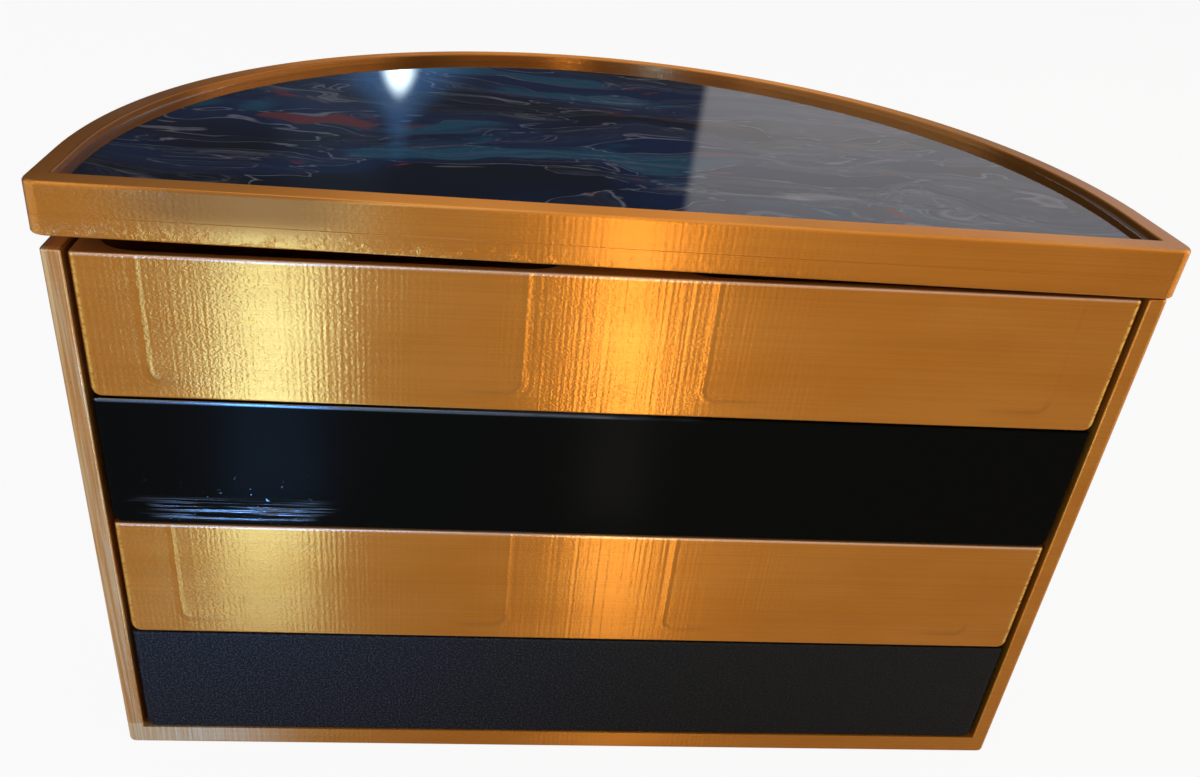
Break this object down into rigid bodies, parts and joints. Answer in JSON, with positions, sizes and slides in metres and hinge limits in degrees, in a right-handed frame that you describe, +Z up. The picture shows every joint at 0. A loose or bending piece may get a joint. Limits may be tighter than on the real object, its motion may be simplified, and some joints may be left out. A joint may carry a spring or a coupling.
{
  "type": "half-moon keepsake chest",
  "caption": "Half-round gold chest with flush slide-out trays in gold and black, and a loose lid that holds a marbled poured picture under clear resin.",
  "frame": {"origin": "on the ground, under the centre of the chest's bounding box", "axes": "+X to the right, +Y to the arc at the back, +Z up; the flat front faces -Y"},
  "size_m": [0.2031, 0.1194, 0.1314],
  "materials": {
    "gold": "silk gold print, fine level layer lines",
    "gloss_black": "gloss black print, fine layer lines",
    "matte_black": "matte black print",
    "poured": "marbled navy, teal, grey and red-brown pour",
    "resin": "clear gloss resin"
  },
  "bodies": {
    "carcass": {"carcass": "gold"},
    "lid": {"lid_tray": "gold", "poured_panel": "poured", "clear_resin": "resin"},
    "tray_1": {"tray_1": "gold"},
    "tray_2": {"tray_2": "gloss_black"},
    "tray_3": {"tray_3": "gold"},
    "tray_4": {"tray_4": "matte_black"}
  },
  "joints": [
    {"name": "tray_1_slide", "type": "slide", "parent": "carcass", "child": "tray_1", "axis": [0, -1, 0], "range_m": [0, 0.065]},
    {"name": "tray_2_slide", "type": "slide", "parent": "carcass", "child": "tray_2", "axis": [0, -1, 0], "range_m": [0, 0.065]},
    {"name": "tray_3_slide", "type": "slide", "parent": "carcass", "child": "tray_3", "axis": [0, -1, 0], "range_m": [0, 0.065]},
    {"name": "tray_4_slide", "type": "slide", "parent": "carcass", "child": "tray_4", "axis": [0, -1, 0], "range_m": [0, 0.065]},
    {"name": "lid_lift", "type": "slide", "parent": "carcass", "child": "lid", "axis": [0, 0, 1], "range_m": [0, 0.06]}
  ]
}
